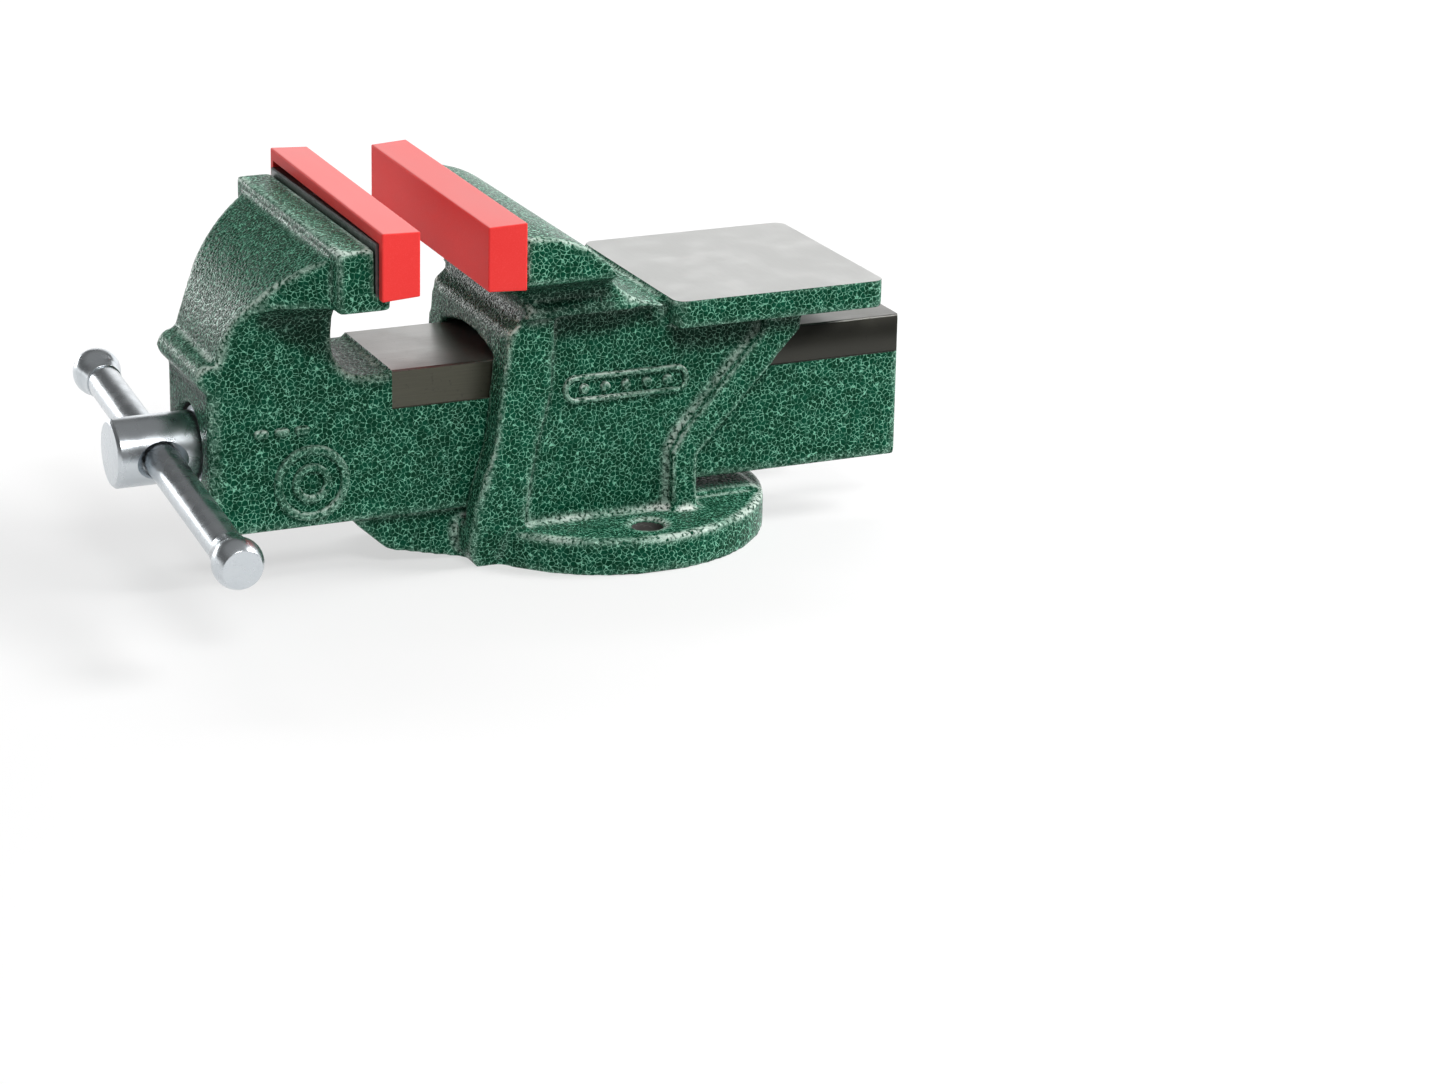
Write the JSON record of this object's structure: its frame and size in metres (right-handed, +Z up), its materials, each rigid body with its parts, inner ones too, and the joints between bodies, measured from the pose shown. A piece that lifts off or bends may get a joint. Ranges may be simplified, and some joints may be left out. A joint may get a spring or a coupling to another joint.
{
  "type": "bench vise",
  "caption": "Cast bench vise on a round bolt-down base: sliding jaw driven by a lead screw with tommy bar, rear anvil, steel jaw plates and removable red soft pads.",
  "frame": {"origin": "centre of the underside of the round base", "axes": "+Z up, +X along the lead screw from the handle to the anvil, Y along the jaws"},
  "size_m": [0.2554, 0.1605, 0.1188],
  "materials": {
    "painted_casting": "dark green hammertone paint",
    "ground_steel": "ground",
    "black_steel": "blackened",
    "bare_iron": "machined, greased",
    "zinc_steel": "bright zinc plate",
    "spring_steel": "oiled",
    "red_plastic": "moulded, matte",
    "magnet": "nickel plate"
  },
  "bodies": {
    "fixed_body": {"fixed_body": "painted_casting", "fixed_jaw_plate": "ground_steel", "fixed_jaw_screws": "black_steel", "lead_screw_nut": "bare_iron", "nut_bolts": "zinc_steel", "nut_bolt_washers": "zinc_steel"},
    "moving_jaw": {"moving_jaw": "painted_casting", "moving_jaw_plate": "ground_steel", "moving_jaw_screws": "black_steel"},
    "lead_screw": {"lead_screw": "zinc_steel", "thrust_washer": "zinc_steel", "screw_spring": "spring_steel", "retaining_washer": "zinc_steel", "retaining_pin": "zinc_steel"},
    "handle": {"handle_bar": "zinc_steel", "handle_knob_near": "zinc_steel", "handle_knob_far": "zinc_steel"},
    "fixed_pad": {"fixed_pad": "red_plastic", "fixed_pad_magnets": "magnet"},
    "moving_pad": {"moving_pad": "red_plastic", "moving_pad_magnets": "magnet"}
  },
  "joints": [
    {"name": "jaw_slide", "type": "slide", "parent": "fixed_body", "child": "moving_jaw", "axis": [1, 0, 0], "range_m": [-0.0625, 0.0211]},
    {"name": "screw_turn", "type": "hinge", "parent": "moving_jaw", "child": "lead_screw", "pos_m": [-0.1469, 0, 0.0413], "axis": [1, 0, 0], "range_deg": [-5640, 1914]},
    {"name": "handle_slide", "type": "slide", "parent": "lead_screw", "child": "handle", "axis": [0, 0.9956, 0.0941], "range_m": [-0.0439, 0.0649]},
    {"name": "fixed_pad_lift", "type": "slide", "parent": "fixed_body", "child": "fixed_pad", "axis": [0, 0, 1], "range_m": [0, 0.022]},
    {"name": "moving_pad_lift", "type": "slide", "parent": "moving_jaw", "child": "moving_pad", "axis": [0, 0, 1], "range_m": [0, 0.022]}
  ],
  "couplings": [
    {"joint": "screw_turn", "follows": "jaw_slide", "rad_per_m": 1570.8}
  ]
}
